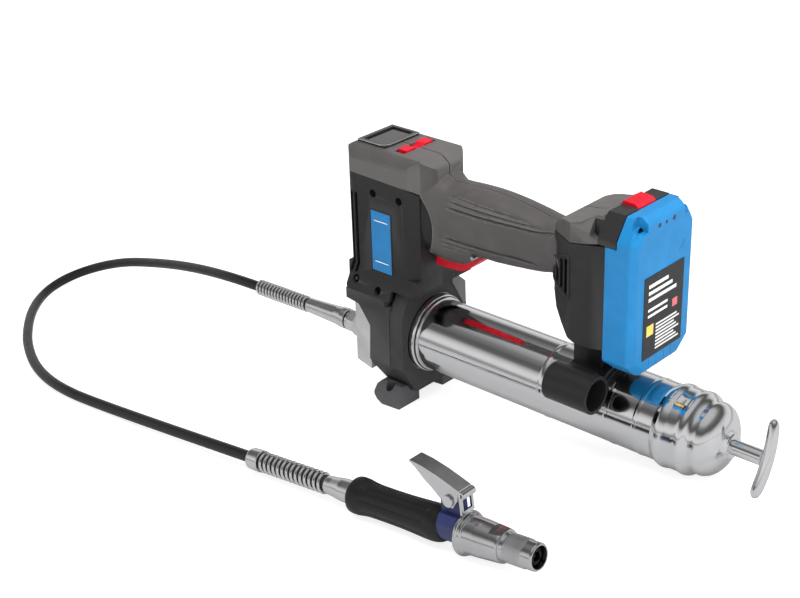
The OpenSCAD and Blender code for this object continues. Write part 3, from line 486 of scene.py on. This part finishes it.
def pocket_linings():
    """The dark plastic seen in the two pockets."""
    outline = rounded([(167, 138.6), (167, 151.5), (171, 153), (175.6, 153), (175.6, 138.6)], 3.5, True, 5)
    for side in (-1, 1):
        lining = prism(f"knuckle_lining_{'l' if side < 0 else 'r'}", outline, "y",
                       *sorted((side * 25.6, side * 27.6)))
        combine(lining, prism("slant", [(29.6 * side, 148.5), (20 * side, 161), (50 * side, 161), (50 * side, 148.5)],
                              "x", 150, 190))
        place(bevel(lining, 0.5, 2), body="gun", slot="dark_grey_plastic")


def upper_shell():
    whole = cap_block("upper_shell")
    handle = combine(handle_loft("handle", 7.3, 135), *root_bite("bite"))
    knuckle = bevel(combine(bevel(knuckle_block("knuckle"), 2.2, 5, 14), *knuckle_pockets()), 0.5, 2, 40)
    combine(whole, handle, knuckle, operation="UNION")
    hollow = [cap_block("cap_hollow", 3), handle_loft("handle_hollow", 5, 133, 4.4, False, 40, 64),
              box("window", (-56, -17, 140), (-33, 17, 160)), box("slot", (-22.3, -18.3, 140), (-12.7, 18.3, 160)),
              box("trigger_slot", (0, -10.3, 60), (57, 10.3, 90)),
              box("rail_way", (172.6, -24.3, 120), (180, 24.3, 170)),
              box("foot_way", (131, -21, 120), (171, 21, 140))]
    combine(whole, *hollow)
    for side, node in ((-1, "top_shell_left"), (1, "top_shell_right")):
        half = link(node + "_piece", whole.data.copy())
        away = box("away", (-100, SEAM * -side - 200 * (side > 0), 0), (300, SEAM * -side + 200 * (side < 0), 220))
        gap = box("gap", (-100, -SEAM, 0), (300, SEAM, 220))
        combine(half, away, gap)
        bevel(half, 0.35, 2, 55)
        place(half, node)
    bpy.data.objects.remove(whole)


# ---------- dark case, pump, boots and feet ----------


def case_collar():
    """The dark sleeve that shows in the crescents between the case and the handle."""
    root = handle_loft("handle_root_collar", 7.2, 17.5, 2.2, False, 14, 120)
    combine(root, handle_loft("collar_bore", 4, 20, 4.3, False, 14, 96), box("above", (0, -40, 123), (30, 40, 160)),
            box("below", (0, -10.4, 60), (30, 10.4, 84)))
    place(root, body="gun", slot="dark_grey_plastic")


def small_parts():
    widths = {"motor_case_left": 1.0, "motor_case_right": 1.0, "boot_front": 1.1, "boot_rear": 1.1,
              "side_guard": 0.7, "pump_head": 1.2, "foot_left": 1.6, "foot_right": 1.6, "name_plates": 0.25,
              "trigger": 1.2, "speed_switch": 0.7, "battery_foot_left": 0.9, "battery_foot_right": 0.9,
              "battery_front": 1.0, "battery_latch": 0.5,
              "battery_label": 0.1, "hose_holder": 0.9, "coupler_block": 0.5, "coupler_lever": 0.35,
              "lever_pin": 0.6, "nozzle_jaws": 0.25, "outlet_fitting": 0.4, "vent_valve": 0.4,
              "housing_screws": 0.3, "display_bezel": 0.5, "display_window": 0.2}
    for node, width in widths.items():
        place(refined(node, width), node, material=SPECIAL.get(node))


def screw_sockets():
    """A hexagonal socket in each case screw."""
    for side in (-1, 1):
        for x, z in ((-36, 117.6), (-9.7, 117.6), (-52, 44), (-28, 41)):
            y = 27.6 if z > 100 else 34.2
            hexagon = [(x + 1.5 * math.cos(math.pi * k / 3), z + 1.5 * math.sin(math.pi * k / 3)) for k in range(6)]
            socket = prism(f"screw_socket_{'l' if side < 0 else 'r'}_{int(x)}", hexagon, "y",
                           min(side * (y - 1), side * (y + 0.2)), max(side * (y - 1), side * (y + 0.2)))
            place(socket, body="gun", slot="black_plastic")


def plate_marks():
    """Plain bars on the side plates, in place of any name."""
    a, b = low("name_plates"), high("name_plates")
    for side in (-1, 1):
        y = a.y if side < 0 else b.y
        for i, share in enumerate((0.16, 0.84)):
            z = a.z + (b.z - a.z) * share
            bar = tube(f"plate_bar_{'l' if side < 0 else 'r'}_{i}",
                       [(a.x + 3 + (b.x - a.x - 6) * k / 8, y - side * 0.25, z) for k in range(9)],
                       lambda t: 0.45 - 0.12 * abs(2 * t - 1) ** 6, 12)
            place(bar, body="gun", slot="blue_plate", material=PRINT)
        rim = rounded([(a.x - 0.5, y, a.z - 0.5), (b.x + 0.5, y, a.z - 0.5), (b.x + 0.5, y, b.z + 0.5),
                       (a.x - 0.5, y, b.z + 0.5)], 1.2, True)
        place(tube(f"plate_rim_{'l' if side < 0 else 'r'}", rim + [rim[0]], 0.55, 8), body="gun",
              slot="black_plastic")


def display_edge():
    """The bright line along two sides of the display."""
    a, b = low("display_bezel"), high("display_bezel")
    z = b.z - 0.2
    path = rounded([(a.x + 1, a.y, z), (b.x, a.y, z), (b.x, b.y - 1, z)], 7, steps=8)
    place(tube("display_edge", path, 0.55, 10), body="gun", slot="chrome")


# ---------- battery details ----------


def battery_shell():
    """The blue case, with a pocket in each top rear corner."""
    shell = bevel(refined("battery_case", 1.3, 4, 20), 0.3, 2, 60)
    for side in (-1, 1):
        outline = rounded([(198, 160), (208, 160), (208, 149.6), (201, 149.6), (198, 154)], 1.5, True)
        combine(shell, prism("corner_pocket", outline, "y", *sorted((side * 21.5, side * 30))))
    place(shell, "battery_case")


def battery_details():
    back = high("battery_case").x
    for i, (y, r) in enumerate(((-8, 1.5), (0, 1.0), (9, 1.6))):
        dome = [(back - 0.6, 0.02), (back - 0.6, r + 0.3), (back + 0.02, r + 0.3), (back + 0.06, r)]
        dome += [(back + 0.06 + 0.18 * math.sin(math.pi * k / 8), r * math.cos(math.pi * k / 8)) for k in (1, 2, 3)]
        lamp = lathe(f"charge_lamp_{i}", dome + [(back + 0.24, 0.02)], Matrix.Translation((0, y, 150.5)), 40)
        place(lamp, body="battery", slot="black_gloss", material=LAMP)
    notch = rounded([(16.5, 123.5), (23.5, 123.5), (23.5, 131)], 0.8, True)
    place(prism("battery_notch", notch, "x", back - 0.5, back + 0.1), body="battery", slot="blue_plate")
    for i, y in enumerate((-14, -5, 4, 13)):
        rib = bevel(box(f"battery_rib_{i}", (back - 0.6, y - 0.6, 45), (back + 0.25, y + 0.6, 54)), 0.22, 3)
        place(rib, body="battery", slot="blue_plastic")


def label_marks():
    """Plain bars and blocks in the layout of a rating label, with no readable content."""
    a, b = low("battery_label"), high("battery_label")
    x0, x1 = b.x - 0.05, b.x + 0.1

    def mark(name, y0, z0, y1, z1, material=PRINT):
        strip = bevel(box("label_" + name, (x0, a.y + y0, a.z + z0), (x1, a.y + y1, a.z + z1)), 0.05, 2)
        place(strip, body="battery", slot="label_film", material=material)

    for i in range(8):
        mark(f"line_{i}", 15, 4 + 2.6 * i, 43 - 3 * (i % 3), 5.3 + 2.6 * i)
    mark("block_yellow", 4, 17, 12, 25, PRINT_YELLOW)
    mark("block_red", 34, 29, 40, 35, PRINT_RED)
    for i in range(3):
        mark(f"bar_{i}", 5, 43 + 5 * i, 38 - 5 * i, 45.6 + 5 * i)
    for i in range(2):
        mark(f"short_{i}", 5, 31 + 4.5 * i, 28, 33 + 4.5 * i)


def vent_rims():
    """The raised rim round the vent on each slanting side of the battery foot."""
    for side in (-1, 1):
        corners = [(129.5, 20.5, 111), (134, 24, 113.6), (150.6, 32.8, 121.4), (151, 33, 87.6), (134, 24, 92),
                   (128, 19.4, 94)]
        path = rounded([(x, side * (y + 0.2), z) for x, y, z in corners], 2.5, True)
        path.append(path[0])
        place(tube(f"vent_rim_{'l' if side < 0 else 'r'}", path, 0.75, 10), body="gun", slot="dark_grey_plastic")


# ---------- barrel, cap, rod ----------


def barrel_parts():
    inner, outer = 27.3, 28.5
    beads = [(x + k * 0.55, outer + 0.36 * (1 - (k / 4) ** 2)) for x in (122, 181, 205) for k in range(-4, 5)]
    end = high("barrel_tube").x
    front = low("barrel_tube").x
    place(lathe("barrel_tube_piece", [(front, inner), (front, outer)] + beads + [(end, outer), (end, inner)]),
          "barrel_tube", sharp=50)
    ring = [(-3.6, 28.55), (-3.6, 31.2), (-1.6, 31.3)]
    ring += [(0.9 + 1.9 * math.cos(a), 29.75 + 1.75 * math.sin(a)) for a in (2.0, 1.6, 1.2, 0.8, 0.4, 0, -0.3)]
    ring += [(3.3, 29.1)] + [(4.2 + 0.95 * math.cos(a), 28.95 + 0.95 * math.sin(a)) for a in (2.0, 1.3, 0.6, 0)]
    place(lathe("barrel_collar_piece", ring + [(5.2, 28.55)]), "barrel_collar", sharp=50)
    start = low("barrel_cap").x
    skirt = [(start, 28.55), (start, 28.9), (221, 30.1), (223.6, 31.0), (226.2, 30.7), (228.4, 29.9), (233, 29.9),
             (237, 29.9), (240.2, 30.7), (243, 30.1), (245.4, 27.9), (247.4, 26.7), (249.6, 26.6), (252.4, 26.9),
             (256.4, 25.5), (260.2, 22.3), (263.6, 17.4), (266, 12), (267.4, 9.6), (268.6, 8.8)]
    inside = [(268.6, 5.55), (263, 5.55), (263, 9), (259, 16), (254, 21.5), (250, 24), (end + 0.3, 24.6),
              (end + 0.3, 28.55)]
    place(lathe("barrel_cap_piece", rounded(skirt, 2.5, steps=4) + inside, steps=144), "barrel_cap", sharp=60)
    tip = high("follower_rod").x
    rod = rounded([(6.5, 0.05), (6.5, 8.5), (9.9, 8.5), (9.9, 5.5), (13.6, 5.5), (13.6, 8.5), (16.5, 8.5),
                   (16.5, 5.5), (tip, 5.5), (tip, 0.05)], 0.3)
    place(lathe("follower_rod_piece", rod, steps=64), "follower_rod", sharp=50)


def follower_spring():
    """The follower's spring, copied from its CAD solid and given a mesh of its own; the real spring shortens towards
    its fixed end as the follower is pulled back.
    """
    obj = link("follower_spring_piece", frame["nodes"]["follower_spring"].data.copy())
    place(obj, "follower_spring", sharp=50)
    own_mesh(obj)


def collar_painted_shade_ring():
    """A dark ring painted into the valley between the collar's two beads, standing in for the shade that falls there.
    """
    ring = [(3.35 + 0.55 * math.cos(math.pi * k / 6), 29.75 + 0.62 * math.sin(math.pi * k / 6)) for k in range(12)]
    # Painted shade: the seal_rubber finish only makes this ring black. It is no seal, just the shade in the valley.
    place(lathe("collar_painted_shade_ring", ring), body="barrel", slot="seal_rubber", sharp=60)


def t_handle():
    a, b = low("t_handle"), high("t_handle")
    centre = (a + b) / 2
    thick = 4.3
    turn = math.radians(22)
    reach = math.hypot(b.y - a.y, b.z - a.z) / 2 - thick * 0.55
    path = []
    for i in range(73):
        s = math.sin(math.pi * (i / 72 - 0.5))
        path.append((b.x - thick - 2.9 * s * s, centre.y + reach * s * math.sin(turn),
                     centre.z + reach * s * math.cos(turn)))
    bar = tube("t_handle_piece", path, lambda t: thick * (1 - 0.28 * (2 * t - 1) ** 2)
               * max(0.004, 1 - abs(math.sin(math.pi * (t - 0.5))) ** 14) ** 0.5, 28)
    place(bar, "t_handle", sharp=70)


# ---------- hose ----------

COUPLER = Matrix.Translation((170, -170, -22.4)) @ Matrix.Rotation(math.radians(-7), 4, "Y")
OUTLET = Matrix.Translation((-96, 0, -19.5)) @ Matrix.Rotation(math.radians(-1.8), 4, "Y")


def coil(name, place_at, x0, x1, turns, r, wire):
    path = [place_at @ Vector((x0 + (x1 - x0) * i / (turns * 28), r * math.cos(2 * math.pi * i / 28),
                               r * math.sin(2 * math.pi * i / 28))) for i in range(turns * 28 + 1)]
    return tube(name, path, wire, 10)


def hose_ends():
    pump_coil = coil("pump_guard_coil", OUTLET, -108, -48.2, 16, 5.75, 1.15)
    place(pump_coil, "hose_guards", sharp=60)
    place(coil("coupler_guard_coil", COUPLER, -192.2, -126.4, 14, 6.55, 1.3), body="gun", slot="spring_steel",
          sharp=60)
    collar = rounded([(-207, 4.5), (-207, 5.6), (-205, 7.9), (-193.3, 8.3), (-193.3, 4.5)], 0.6, True)
    place(lathe("guard_collar", collar, COUPLER), body="gun", slot="spring_steel", sharp=50)
    pump_sleeve = rounded([(-47, 4.5), (-47, 6.2), (-43, 6.3), (-14, 7.6), (-6, 8.7), (-0.6, 8.7), (-0.6, 4.5)],
                          0.8, True)
    place(lathe("pump_sleeve", pump_sleeve, OUTLET), "hose_ferrules", sharp=45)
    coupler_sleeve = rounded([(-125, 4.5), (-125, 6.6), (-119, 7), (-110, 8.2), (-97.5, 8.7), (-97.5, 4.5)], 0.8,
                             True)
    place(lathe("coupler_sleeve", coupler_sleeve, COUPLER), body="gun", slot="plated_steel", sharp=45)
    place(lathe("pump_guard_liner", [(-109, 4.5), (-109, 5), (-47.4, 5), (-47.4, 4.5)], OUTLET, 48), body="gun",
          slot="seal_rubber")
    place(lathe("coupler_guard_liner", [(-193, 4.5), (-193, 5.6), (-125.4, 5.6), (-125.4, 4.5)], COUPLER, 48),
          body="gun", slot="seal_rubber")


# ---------- coupler ----------


def coupler_grip():
    """The grip: a waisted sleeve with flutes along it."""
    shape = [(-97.2, 11.6), (-96, 12.9), (-93.5, 13.3), (-89, 13.1), (-84, 12.4), (-76, 11.9), (-60, 11.8),
             (-46, 12), (-32, 12.6), (-25, 12.9), (-20, 12.8), (-16, 12.1), (-13, 10.8), (-12, 9.6)]
    around, stations = 192, 130
    verts = []
    for i in range(stations):
        x = shape[0][0] + (shape[-1][0] - shape[0][0]) * i / (stations - 1)
        fluted = step_up(x, -86, -80) * (1 - step_up(x, -26, -21))
        for k in range(around):
            a = 2 * math.pi * k / around
            crest = 0.5 + 0.5 * math.cos(8 * a)
            r = curve_through(shape, x) - 0.9 * fluted * (1 - crest**0.35)
            verts.append(COUPLER @ Vector((x, r * math.cos(a), r * math.sin(a))))
    for i in (stations - 1, 0):
        x = shape[-1][0] if i else shape[0][0]
        for k in range(around):
            a = 2 * math.pi * k / around
            verts.append(COUPLER @ Vector((x, 6 * math.cos(a), 6 * math.sin(a))))
    rings = stations + 2
    faces = [(i * around + k, i * around + (k + 1) % around, ((i + 1) % rings) * around + (k + 1) % around,
              ((i + 1) % rings) * around + k) for i in range(rings) for k in range(around)]
    place(solid("coupler_grip_piece", verts, faces), "coupler_grip", sharp=50)


def coupler_nose():
    outer = [(-97, 2.1), (-97, 5.5), (4, 5.5), (4, 15), (4.6, 15.6), (6.2, 15.6), (6.8, 14.4), (9, 14.4),
             (9.7, 13.3), (18, 13.1), (36, 11.9), (38, 11.6), (38, 10), (41, 9.6), (41.4, 9.9), (55.8, 9.9),
             (56, 9.5), (63.4, 9.5), (64.5, 8.6), (64.5, 7.8), (44, 7.8), (44, 2.1)]
    nose = lathe("coupler_nose_piece", rounded(outer, 0.5, True, 3), COUPLER)
    combine(nose, box("flat", (29, -20, 10.4), (41, 20, 20), COUPLER))
    place(nose, "coupler_nose", sharp=40)
    band = rounded([(41.8, 9.8), (41.8, 10), (55.6, 10), (55.6, 9.8)], 0.1, True)
    place(lathe("nose_matt_band", band, COUPLER), body="gun", slot="nose_chrome",
          material=finish_of("matt_chrome", (0.62, 0.62, 0.63), 0.45, metallic=1.0, grain=0.8, grain_mm=0.5))
    seat = rounded([(46, 0.05), (46, 3.4), (57.5, 3.4), (59.6, 1.9), (60.4, 1.3), (60.4, 0.05)], 0.5)
    place(lathe("nose_inner_seat", seat, COUPLER, 48), body="gun", slot="dark_steel", sharp=50)


def smooth_hose():
    """The hose with round sides in place of the flat ones of the solid."""
    obj = link("grease_hose_piece", frame["nodes"]["grease_hose"].data.copy())
    bm = bmesh.new()
    bm.from_mesh(obj.data)
    bmesh.ops.remove_doubles(bm, verts=bm.verts, dist=0.004 * MM)
    bmesh.ops.join_triangles(bm, faces=bm.faces, angle_face_threshold=0.8, angle_shape_threshold=0.8)
    bmesh.ops.recalc_face_normals(bm, faces=bm.faces)
    bm.normal_update()
    for v in bm.verts:
        v.co += v.normal * 0.2 * MM
    bm.to_mesh(obj.data)
    bm.free()
    soft = obj.modifiers.new("soft", "SUBSURF")
    soft.levels = soft.render_levels = 2
    settle(obj)
    place(obj, "grease_hose", sharp=80)


# ---------- the whole gun ----------

upper_shell()
pocket_linings()
case_collar()
small_parts()
screw_sockets()
plate_marks()
display_edge()
battery_shell()
battery_details()
label_marks()
vent_rims()
barrel_parts()
collar_painted_shade_ring()
follower_spring()
t_handle()
hose_ends()
coupler_grip()
coupler_nose()
smooth_hose()
for node, obj in frame["nodes"].items():
    if not obj.hide_render:
        paint(obj, MATERIALS[SLOT_OF[node]])
        obj.data.shade_smooth()
        obj.data.set_sharp_from_angle(angle=math.radians(38))


# ---------- floor, light and camera ----------


def floor():
    """A pale plane under the feet and the rim of the cap."""
    slope = 0.1018
    level = -56.05
    reach = 6000
    corners = [(x, y, level + slope * (x + 7.5)) for x, y in
               ((-reach, -reach), (reach, -reach), (reach, reach), (-reach, reach))]
    ground = solid("floor", corners, [(0, 1, 2, 3)])
    material = bpy.data.materials.new("floor_paper")
    material.use_nodes = True
    n = Nodes(material.node_tree)
    where = n.add("ShaderNodeTexCoord").outputs["Object"]
    tone = n.mix(n.spread(n.noise(where, 60), 0, 1), (0.9, 0.9, 0.9), (0.93, 0.93, 0.93))
    mirrored = n.add("ShaderNodeLightPath").outputs["Is Glossy Ray"]
    tone = n.mix(mirrored, tone, (0.3, 0.3, 0.3))
    glow = n.mix(mirrored, (0.3, 0.3, 0.3), (0.12, 0.12, 0.12))
    seen = n.add("ShaderNodeLightPath").outputs["Is Camera Ray"]
    tone = n.mix(seen, tone, (0.36, 0.36, 0.36))
    glow = n.mix(seen, glow, (0.8, 0.8, 0.8))
    shader = n.add("ShaderNodeBsdfPrincipled", {"Base Color": tone, "Roughness": 0.75, "Emission Color": glow,
                                                "Emission Strength": 1.0})
    n.add("ShaderNodeOutputMaterial", {"Surface": shader.outputs[0]})
    paint(ground, material)


def studio_world():
    """White behind the gun; a soft grey dome with dark and bright bands where metal mirrors it."""
    world = bpy.data.worlds.new("studio")
    bpy.context.scene.world = world
    world.use_nodes = True
    n = Nodes(world.node_tree)
    direction = n.add("ShaderNodeTexCoord").outputs["Generated"]
    height = n.add("ShaderNodeSeparateXYZ", {0: direction}).outputs[2]
    ramp = n.add("ShaderNodeValToRGB", {0: n.add("ShaderNodeMapRange", {0: height, 1: -1, 2: 1}).outputs[0]})
    stops = ramp.color_ramp.elements
    stops[0].position, stops[0].color = 0.5, (0.3, 0.3, 0.3, 1)
    stops[1].position, stops[1].color = 0.56, (0.75, 0.75, 0.75, 1)
    for at, value in ((0.64, 0.7), (0.7, 0.46), (0.745, 0.13), (0.8, 0.1), (0.87, 0.2), (0.93, 0.48), (1.0, 0.55)):
        stops.new(at).color = (value, value, value, 1)
    rays = n.add("ShaderNodeLightPath")
    color = n.mix(rays.outputs["Is Glossy Ray"], (0.66, 0.67, 0.69), ramp.outputs[0])
    color = n.mix(rays.outputs["Is Camera Ray"], color, (1.0, 1.0, 1.0))
    background = n.add("ShaderNodeBackground", {"Color": color, "Strength": 1.0})
    n.add("ShaderNodeOutputWorld", {"Surface": background.outputs[0]})


def soft_light(name, position, target, size, power):
    data = bpy.data.lights.new(name, "AREA")
    data.shape = "RECTANGLE"
    data.size, data.size_y = size
    data.energy = power
    light = bpy.data.objects.new(name, data)
    light.location = position
    light.visible_glossy = False
    light.rotation_euler = (Vector(target) - Vector(position)).to_track_quat("-Z", "Y").to_euler()
    bpy.context.scene.collection.objects.link(light)


def camera():
    azimuth, elevation, roll = (math.radians(angle) for angle in (43.173, 26.246, -1.872))
    ahead = Vector((-math.sin(azimuth) * math.cos(elevation), math.cos(azimuth) * math.cos(elevation),
                    -math.sin(elevation)))
    level = Vector((math.cos(azimuth), math.sin(azimuth), 0))
    over = level.cross(ahead)
    right = level * math.cos(roll) + over * math.sin(roll)
    up = over * math.cos(roll) - level * math.sin(roll)
    data = bpy.data.cameras.new("camera")
    data.lens = 72.51
    data.clip_start, data.clip_end = 0.01, 50
    eye = bpy.data.objects.new("camera", data)
    turn = Matrix((right, up, -ahead)).transposed().to_4x4()
    eye.matrix_world = Matrix.Translation((0.746, -0.8363, 0.5824)) @ turn
    bpy.context.scene.collection.objects.link(eye)
    bpy.context.scene.camera = eye


floor()
studio_world()
soft_light("key", (0.0, -0.45, 1.6), (0.05, 0, 0.05), (1.1, 1.0), 26)
soft_light("fill", (1.6, -0.25, 0.7), (0.15, 0, 0.05), (1.0, 1.0), 15)
soft_light("rim", (0.3, 1.2, 1.1), (0.1, 0, 0.1), (1.4, 0.6), 12)
camera()
bpy.context.scene.view_settings.view_transform = "Standard"
